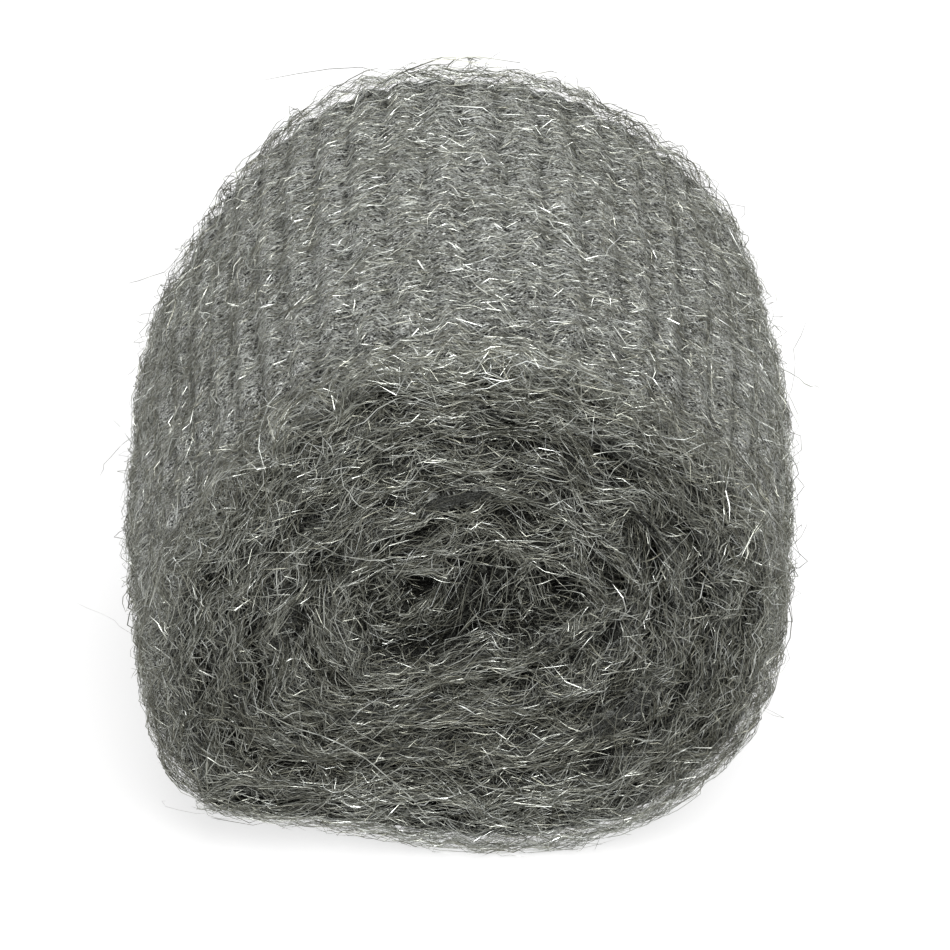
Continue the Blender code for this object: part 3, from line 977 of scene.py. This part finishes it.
def fuzz_on_outside(rng, family, looped):
    """Fibres that stand off the outside: loops that come back to it, or loose curled tips."""
    count = family.count
    place = rng.uniform(0, RIBS, (count, 1))
    y = rng.uniform(-END, END, (count, 1))
    heading = rng.normal(0, family.spread, count) + np.where(rng.random(count) < 0.5, math.pi, 0.0)
    reach = family.length * rng.uniform(*FUZZ_LENGTHS, count)
    ahead, aside = wander(rng, heading, reach, family.segments, FUZZ_RUN)
    step = np.linspace(0, 1, family.segments + 1)
    shape = np.sin(math.pi * step) if looped else step ** rng.uniform(*FUZZ_BENDS, (count, 1))
    lift = family.high * rng.lognormal(0, FUZZ_SPREAD, (count, 1))
    kinks = rng.normal(0, FUZZ_RUN.rise_kink, ahead.shape)
    heights = np.minimum(lift * shape + family.low + kinks, FUZZ_LIMIT)
    return on_outside(place + ahead / RIB, kept_near(y + aside, FUZZ_OVERHANG), heights)


def rim_lace(rng, family, side):
    """Loosened fibres that run round the rim of an end face, a little in front of it."""
    place = rng.uniform(0, RIBS, (family.count, 1))
    heading = rng.normal(0, family.spread, family.count)
    reach = random_lengths(rng, family)
    ahead, aside = wander(rng, heading, reach, family.segments, LACE_RUN)
    height = outside(direction(turn_at(place)))[..., 1] / ROLL_HEIGHT
    overhang = np.interp(height, LACE_HEIGHTS, LACE_OVERHANGS)
    ys = side * (END - LACE_BACK + (LACE_BACK + overhang) * rng.uniform(0, 1, (family.count, 1))) + aside
    heights = random_heights(rng, family, LACE_RUN)
    return on_outside(place + ahead / RIB, kept_near(ys, FUZZ_OVERHANG), heights)


def fuzz_on_end(rng, family, side):
    """Fibres that stand off an end face."""
    count = family.count
    turn = turns_by_area(rng, count)
    heading = rng.uniform(-math.pi, math.pi, count)
    reach = family.length * rng.uniform(*END_FUZZ_LENGTHS, count)
    ahead, aside = wander(rng, heading, reach, family.segments, END_FUZZ_RUN)
    turns = turn[:, None] + ahead / np.interp(turn, RIBBON_TURNS, winding_speed())[:, None]
    wall = np.maximum(thickness(turn), END_FUZZ_WALL)[:, None]
    shares = rng.uniform(0, 1, (count, 1)) + aside / wall
    lift = family.high * rng.lognormal(0, END_FUZZ_SPREAD, (count, 1))
    step = np.linspace(0, 1, family.segments + 1)
    heights = np.minimum(family.low + lift * step**END_FUZZ_BEND, END_FUZZ_LIMIT)
    turns = np.clip(turns, -FOLD_TURN, TURNS)
    return on_end(turns, np.clip(shares, *END_FUZZ_REACH), heights, np.zeros((count, 1)), side)


def strays_on_face(rng, family, side):
    """Long loose fibres that lie in wide curls on an end face."""
    angle = rng.uniform(0, 2 * math.pi, family.count)
    out = np.sqrt(rng.uniform(*STRAY_AREA, family.count))[:, None]
    middle = MIDDLE + (outside(angle) - MIDDLE) * out
    reach = random_lengths(rng, family)
    heading = angle + math.pi / 2 + rng.normal(0, family.spread, family.count)
    ahead, aside = wander(rng, heading, reach, family.segments, STRAY_RUN)
    heights = random_heights(rng, family, STRAY_RUN)
    heights[:, (0, -1)] -= DIVE * rng.uniform(0, STRAY_DIVE, (family.count, 1))
    return on_face(middle[:, :1] + ahead, middle[:, 1:] + aside, heights, side)


def strays_on_outside(rng, family):
    """Long loose fibres that lie in wide curls on the outside."""
    place = rng.uniform(0, RIBS, (family.count, 1))
    reach = random_lengths(rng, family)
    heading = rng.normal(0, family.spread, family.count)
    ahead, aside = wander(rng, heading, reach, family.segments, STRAY_RUN)
    heights = random_heights(rng, family, STRAY_RUN)
    ys = kept_near(rng.uniform(-END, END, (family.count, 1)) + aside, STRAY_OVERHANG)
    return on_outside(place + ahead / RIB, ys, heights, STRAY_FOLLOW)


def rounded_route(points, count):
    """A smooth route through given points."""
    points = np.array(points)
    place = lengths_along(points)
    slopes = np.gradient(points, place, axis=0)
    fine = np.linspace(0, place[-1], count)
    span = np.clip(np.searchsorted(place, fine, side="right") - 1, 0, len(place) - 2)
    gap = (place[span + 1] - place[span])[:, None]
    part = (fine - place[span])[:, None] / gap
    start = (1 + 2 * part) * (1 - part) ** 2 * points[span] + part * (1 - part) ** 2 * gap * slopes[span]
    end = part**2 * (3 - 2 * part) * points[span + 1] - part**2 * (1 - part) * gap * slopes[span + 1]
    return start + end


def chosen_strays():
    """The long fibres that catch the eye on the front end face, each in a low arch, and their width."""
    for points in CHOSEN_STRAYS:
        count = 2 + round(lengths_along(np.array(points))[-1] / CHOSEN_STEP)
        route = rounded_route(points, count)
        arch = np.sin(np.linspace(CHOSEN_START, math.pi - CHOSEN_START, count))
        yield on_face(route[:, 0], route[:, 1], CHOSEN_HEIGHT * arch**0.5, FRONT)[None], CHOSEN_WIDTH


# Fibre meshes

def strand_profile():
    """The cross-section that all fibres share: a low triangle, as a shaving has."""
    profile = bpy.data.curves.new("strand_profile", "CURVE")
    profile.dimensions = "2D"
    ring = profile.splines.new("POLY")
    ring.points.add(2)
    half = STRAND_WIDTH / 2
    foot = -STRAND_THICKNESS / 3
    corners = ((-half, foot), (0.0, STRAND_THICKNESS * 2 / 3), (half, foot))
    for point, (across, up) in zip(ring.points, corners):
        point.co = (across, up, 0.0, 1.0)
    ring.use_cyclic_u = True
    holder = bpy.data.objects.new("strand_profile", profile)
    bpy.context.scene.collection.objects.link(holder)
    return holder


def strand_curve(rng, name, families):
    """One curve with a spline for each fibre, which twists and tapers along its length."""
    curve = bpy.data.curves.new(name, "CURVE")
    curve.dimensions = "3D"
    for paths, width in families:
        count, points = paths.shape[:2]
        taper = np.ones(points)
        taper[[0, -1]] = TAPER
        radius = width * rng.lognormal(0, WIDTH_SPREAD, (count, 1)) * taper
        twist = np.cumsum(rng.normal(0, STRAND_TWIST, (count, points)), axis=1)
        tilt = rng.uniform(0, 2 * math.pi, (count, 1)) + twist
        homogeneous = np.concatenate((paths, np.ones((count, points, 1))), axis=2)
        for places, sizes, turns in zip(homogeneous, radius, tilt):
            spline = curve.splines.new("POLY")
            spline.points.add(points - 1)
            spline.points.foreach_set("co", places.ravel())
            spline.points.foreach_set("radius", sizes)
            spline.points.foreach_set("tilt", turns)
    return curve


def shades_of(rng, families, painted_light):
    """Each fibre's shade, from 0 (oily dark) to 1 (bright steel), with painted light and shade added."""
    heights = np.concatenate([paths[..., 2].mean(axis=1) for paths, width in families])
    from_rim = END - np.concatenate([np.abs(paths[..., 1]).mean(axis=1) for paths, width in families])
    # Painted light and shade: by height, in the band behind the rims, and as much as the piece is given
    painted_light_and_shade = painted_light + np.interp(heights / ROLL_HEIGHT, PAINTED_CHANGE_HEIGHTS, PAINTED_CHANGES_BY_HEIGHT)
    painted_light_and_shade += RIM_PAINTED_SHADE * np.interp(from_rim, RIM_BAND, RIM_BAND_SHARES)
    return np.clip(rng.beta(*SHADE_SPREAD, len(heights)) + painted_light_and_shade, 0.0, 1.0)


def give_shades(mesh, shades, point_counts):
    """A map for the fibres' finish: across it is each fibre's shade, and up it the way along the fibre."""
    loops = len(mesh.loops)
    places = np.empty(loops * 2, np.float32)
    mesh.uv_layers[0].data.foreach_get("uv", places)
    places = places.reshape(loops, 2)
    cap_shades = np.repeat(shades[::-1], CAP_CORNERS)
    side_shades = np.repeat(shades, SIDE_CORNERS * (point_counts - 1))
    shade = np.concatenate((cap_shades, side_shades)) * (1 - SHADE_WIDTH)
    places = np.stack((shade + SHADE_WIDTH * places[:, 1], places[:, 0]), axis=1)
    mesh.uv_layers[0].data.foreach_set("uv", places.astype(np.float32).ravel())
    mesh.uv_layers[0].name = "OFBake"


def lifted_with_lumps(paths):
    """Paths moved with the lumps of the body that they lie on."""
    moved = [lumpy(Vector(place)) for place in paths.reshape(-1, 3)]
    moved = np.array(moved).reshape(paths.shape)
    moved[..., 2] = np.maximum(moved[..., 2], GROUND)
    return moved


def fibre_piece(name, seed, painted_light, families, profile, material):
    """A piece made of loose fibres. Each family is an array of paths and a width."""
    rng = np.random.default_rng(seed)
    families = [(lifted_with_lumps(paths), width) for paths, width in families]
    curve = strand_curve(rng, name, families)
    curve.bevel_mode = "OBJECT"
    curve.bevel_object = profile
    curve.use_fill_caps = True
    holder = bpy.data.objects.new(name, curve)
    bpy.context.scene.collection.objects.link(holder)
    bpy.context.view_layer.update()
    mesh = bpy.data.meshes.new_from_object(holder.evaluated_get(bpy.context.evaluated_depsgraph_get()))
    bpy.data.objects.remove(holder)
    bpy.data.curves.remove(curve)
    counts = np.concatenate([np.full(len(paths), paths.shape[1]) for paths, width in families])
    give_shades(mesh, shades_of(rng, families, painted_light), counts)
    bm = bmesh.new()
    bm.from_mesh(mesh)
    bmesh.ops.remove_doubles(bm, verts=bm.verts, dist=WELD)
    bm.to_mesh(mesh)
    bm.free()
    mesh.shade_flat()
    mesh.name = name
    add_piece(name, mesh, material)


def add_piece(name, mesh, material):
    mesh.materials.clear()
    mesh.materials.append(material)
    piece = bpy.data.objects.new(name, mesh)
    bpy.context.scene.collection.objects.link(piece)
    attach(piece, BODY)
    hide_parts(NODE)


# Finishes

def set_inputs(tree, node, inputs):
    """Gives a node's inputs their values, or links them to the sockets that they are given."""
    for name, value in inputs.items():
        if isinstance(value, bpy.types.NodeSocket):
            tree.links.new(value, node.inputs[name])
        else:
            node.inputs[name].default_value = value


def add_node(tree, kind, inputs, **settings):
    node = tree.nodes.new(kind)
    for name, value in settings.items():
        setattr(node, name, value)
    set_inputs(tree, node, inputs)
    return node


def worked_out(tree, operation, *values, clamped=False):
    """A number worked out from one or two others."""
    inputs = dict(enumerate(values))
    node = add_node(tree, "ShaderNodeMath", inputs, operation=operation, use_clamp=clamped)
    return node.outputs["Value"]


def carried(tree, value, to_range, from_range=(0.0, 1.0)):
    """A number carried over from one range to another."""
    inputs = {
        "Value": value,
        "From Min": from_range[0],
        "From Max": from_range[1],
        "To Min": to_range[0],
        "To Max": to_range[1],
    }
    return add_node(tree, "ShaderNodeMapRange", inputs).outputs["Result"]


def mixed(tree, factor, first, second, blend_type):
    inputs = {"Factor": factor, "A": first, "B": second}
    node = add_node(tree, "ShaderNodeMix", inputs, data_type="RGBA", blend_type=blend_type)
    return node.outputs["Result"]


def ramped(tree, value, stops):
    """A colour for a number, from stops that each have a position and a colour."""
    ramp = add_node(tree, "ShaderNodeValToRGB", {"Fac": value})
    elements = ramp.color_ramp.elements
    while len(elements) < len(stops):
        elements.new(1.0)
    for element, (position, colour) in zip(elements, stops):
        element.position = position
        element.color = (*colour, 1.0)
    return ramp.outputs["Color"]


def new_material(name):
    material = bpy.data.materials.new(name)
    material.use_nodes = True
    tree = material.node_tree
    return material, tree, tree.nodes["Principled BSDF"]


def strands_group():
    """Thin wandering lines, like fibres packed side by side: long ahead, close together aside."""
    group = bpy.data.node_groups.new("packed_strands", "ShaderNodeTree")
    for title in ("Winding", "Turn"):
        group.interface.new_socket(title, in_out="INPUT", socket_type="NodeSocketVector")
    for title in ("Strands per metre ahead", "Strands per metre aside", "Thinness"):
        group.interface.new_socket(title, in_out="INPUT", socket_type="NodeSocketFloat")
    group.interface.new_socket("Strand", in_out="OUTPUT", socket_type="NodeSocketFloat")
    given = group.nodes.new("NodeGroupInput").outputs
    put_out = group.nodes.new("NodeGroupOutput")

    placed = {"Vector": given["Winding"], "Rotation": given["Turn"]}
    turned = add_node(group, "ShaderNodeVectorRotate", placed, rotation_type="EULER_XYZ")
    closeness = {"X": given["Strands per metre ahead"], "Y": given["Strands per metre aside"]}
    scale = add_node(group, "ShaderNodeCombineXYZ", closeness)
    factors = {0: turned.outputs["Vector"], 1: scale.outputs["Vector"]}
    stretched = add_node(group, "ShaderNodeVectorMath", factors, operation="MULTIPLY")
    wavy = {"Vector": stretched.outputs["Vector"], "Scale": 1.0, "Detail": 2.0, "Roughness": 0.6}
    waves = add_node(group, "ShaderNodeTexNoise", wavy).outputs["Fac"]
    off = worked_out(group, "ABSOLUTE", worked_out(group, "SUBTRACT", waves, 0.5))
    sharpened = worked_out(group, "MULTIPLY", off, given["Thinness"])
    strand = worked_out(group, "SUBTRACT", 1.0, sharpened, clamped=True)
    set_inputs(group, put_out, {"Strand": strand})
    return group


def body_finish():
    """Packed wool seen between the loose fibres: fine strands on the painted shade of deeper wool, with the
    most painted shade in the crevices.
    """
    material, tree, shader = new_material("packed_wool")
    strands = strands_group()
    winding = add_node(tree, "ShaderNodeAttribute", {}, attribute_name="winding").outputs["Vector"]
    parts = add_node(tree, "ShaderNodeSeparateXYZ", {"Vector": winding}).outputs
    flat = add_node(tree, "ShaderNodeCombineXYZ", {"X": parts["X"], "Y": parts["Y"]}).outputs["Vector"]
    seen = None
    for heading, ahead, aside, thinness, strength in BODY_STRANDS:
        inputs = {
            "Winding": flat,
            "Turn": (0.0, 0.0, math.radians(heading)),
            "Strands per metre ahead": ahead,
            "Strands per metre aside": aside,
            "Thinness": thinness,
        }
        strand = add_node(tree, "ShaderNodeGroup", inputs, node_tree=strands).outputs["Strand"]
        weighed = worked_out(tree, "MULTIPLY", strand, strength)
        seen = weighed if seen is None else worked_out(tree, "MAXIMUM", seen, weighed)
    # Painted shade from the winding attribute's third value, multiplied into the colour
    shade = carried(tree, parts["Z"], (0.0, PAINTED_SHADE_STRENGTH))
    colour = mixed(tree, shade, ramped(tree, seen, BODY_COLOURS), PAINTED_SHADE_COLOUR, "MULTIPLY")
    raised = {"Strength": 1.0, "Distance": BODY_RELIEF, "Height": seen}
    finish = {
        "Base Color": colour,
        "Roughness": carried(tree, seen, BODY_ROUGHNESS),
        "Metallic": BODY_METALLIC,
        "Normal": add_node(tree, "ShaderNodeBump", raised).outputs["Normal"],
    }
    set_inputs(tree, shader, finish)
    return material


def fibre_finish():
    """Shaved steel. Each fibre has its own shade, painted light and shade included, with oily darker
    stretches along it.
    """
    material, tree, shader = new_material("steel_fibre")
    place = add_node(tree, "ShaderNodeUVMap", {}, uv_map="OFBake").outputs["UV"]
    shade = add_node(tree, "ShaderNodeSeparateXYZ", {"Vector": place}).outputs["X"]
    stretch = add_node(tree, "ShaderNodeMapping", {"Vector": place, "Scale": STAIN_STRETCH})
    blotchy = {"Vector": stretch.outputs["Vector"], "Scale": 1.0, "Detail": 2.0}
    stains = add_node(tree, "ShaderNodeTexNoise", blotchy).outputs["Fac"]
    oil = carried(tree, stains, (0.0, STAIN_STRENGTH), STAIN_EDGES)
    finish = {
        "Base Color": mixed(tree, oil, ramped(tree, shade, FIBRE_COLOURS), STAIN_COLOUR, "MULTIPLY"),
        "Roughness": carried(tree, shade, FIBRE_ROUGHNESS),
        "Metallic": 1.0,
    }
    set_inputs(tree, shader, finish)
    return material


# The set

def seen_or_mirrored(tree):
    """A socket that is 1 for what the camera sees straight, in a mirror or through glass, and else 0."""
    path = add_node(tree, "ShaderNodeLightPath", {}).outputs
    straight_or_mirrored = worked_out(tree, "MAXIMUM", path["Is Camera Ray"], path["Is Glossy Ray"])
    return worked_out(tree, "MAXIMUM", straight_or_mirrored, path["Is Transmission Ray"])


def floor_finish():
    """A white ground that keeps the roll's shadow, though the camera sees that shadow light."""
    material, tree, shader = new_material("white_ground")
    seen = seen_or_mirrored(tree)
    finish = {
        "Base Color": mixed(tree, seen, FLOOR_COLOUR, FLOOR_COLOUR_SEEN, "MIX"),
        "Roughness": FLOOR_ROUGHNESS,
        "Specular IOR Level": 0.0,
        "Emission Color": WHITE,
        "Emission Strength": carried(tree, seen, (0.0, FLOOR_GLOW)),
    }
    set_inputs(tree, shader, finish)
    return material


def add_floor():
    bm = bmesh.new()
    bmesh.ops.create_grid(bm, x_segments=1, y_segments=1, size=FLOOR_REACH)
    mesh = bpy.data.meshes.new("floor")
    bm.to_mesh(mesh)
    bm.free()
    mesh.materials.append(floor_finish())
    floor = bpy.data.objects.new("floor", mesh)
    bpy.context.scene.collection.objects.link(floor)


def add_world():
    world = bpy.data.worlds.new("white_surround")
    bpy.context.scene.world = world
    world.use_nodes = True
    tree = world.node_tree
    strength = carried(tree, seen_or_mirrored(tree), (WORLD_LIGHT, 1.0))
    set_inputs(tree, tree.nodes["Background"], {"Color": WHITE, "Strength": strength})


def add_softbox(name, place, aim, size, power):
    light = bpy.data.lights.new(name, "AREA")
    light.shape = "SQUARE"
    light.size = size
    light.energy = power
    holder = bpy.data.objects.new(name, light)
    bpy.context.scene.collection.objects.link(holder)
    holder.location = place
    holder.rotation_euler = (Vector(aim) - Vector(place)).to_track_quat("-Z", "Y").to_euler()


def add_camera():
    azimuth = math.radians(CAMERA_AZIMUTH)
    elevation = math.radians(CAMERA_ELEVATION)
    level = math.cos(elevation)
    back = Vector((math.sin(azimuth) * level, -math.cos(azimuth) * level, math.sin(elevation)))
    camera = bpy.data.cameras.new("camera")
    camera.lens = LENS
    camera.sensor_width = SENSOR
    camera.clip_start = NEAREST
    holder = bpy.data.objects.new("camera", camera)
    bpy.context.scene.collection.objects.link(holder)
    holder.location = CAMERA_TARGET + back * CAMERA_DISTANCE
    holder.rotation_euler = back.to_track_quat("Z", "Y").to_euler()
    bpy.context.scene.camera = holder


def fibre_pieces():
    """Each piece of loose fibres: its name, its seed, how much painted light lifts its shades, and its
    families. A family has its maker, its sizes, and its side, or whether it is looped."""
    outside_rows = ((outside_fibres, SHORT_OUTSIDE), (outside_fibres, LONGER_OUTSIDE))
    for part in range(3):
        yield f"outside_fibres_{part + 1}", 20 + part, 0.0, outside_rows
    for part in range(2):
        yield f"front_fibres_{part + 1}", 30 + part, FRONT_PAINTED_LIGHT, ((end_fibres, FRONT_END, FRONT),)
    yield "back_fibres", 40, 0.0, ((end_fibres, BACK_END, BACK), (gap_bridges, BACK_BRIDGES, BACK))
    yield "gap_bridges", 41, FRONT_PAINTED_LIGHT, ((gap_bridges, FRONT_BRIDGES, FRONT),)
    yield "rim_fibres", 42, 0.0, ((rim_fibres, COMBED_RIM, FRONT),)
    hollow_rows = ((hollow_fibres, FRONT_HOLLOW, FRONT), (hollow_fibres, BACK_HOLLOW, BACK))
    yield "hollow_fibres", 50, 0.0, hollow_rows
    fuzz_rows = (
        (fuzz_on_outside, LONG_LOOPS, True),
        (fuzz_on_outside, SHORT_LOOPS, True),
        (fuzz_on_outside, SHORT_TIPS, False),
        (rim_lace, FRONT_LACE, FRONT),
        (rim_lace, BACK_LACE, BACK),
        (fuzz_on_end, FRONT_FUZZ, FRONT),
        (fuzz_on_end, BACK_FUZZ, BACK),
    )
    yield "fuzz", 60, 0.0, fuzz_rows
    stray_rows = (
        (strays_on_face, FRONT_STRAYS, FRONT),
        (strays_on_face, BACK_STRAYS, BACK),
        (strays_on_outside, OUTSIDE_STRAYS),
        (fuzz_on_outside, LONG_TIPS, False),
    )
    yield "stray_fibres", 70, 0.0, stray_rows


def build():
    noise.seed_set(LUMP_SEED)
    bpy.context.scene.view_settings.view_transform = "Standard"
    add_camera()
    add_world()
    add_floor()
    for name, (place, aim, size, power) in SOFTBOXES.items():
        add_softbox(name, place, aim, size, power)

    add_piece("wool_body", body_mesh(), body_finish())
    steel = fibre_finish()
    profile = strand_profile()
    rng = np.random.default_rng(PLACING_SEED)
    for name, seed, painted_light, rows in fibre_pieces():
        families = [(make(rng, family, *details), family.width) for make, family, *details in rows]
        if name == "stray_fibres":
            families.extend(chosen_strays())
        fibre_piece(name, seed, painted_light, families, profile, steel)
    bpy.data.objects.remove(profile)


build()
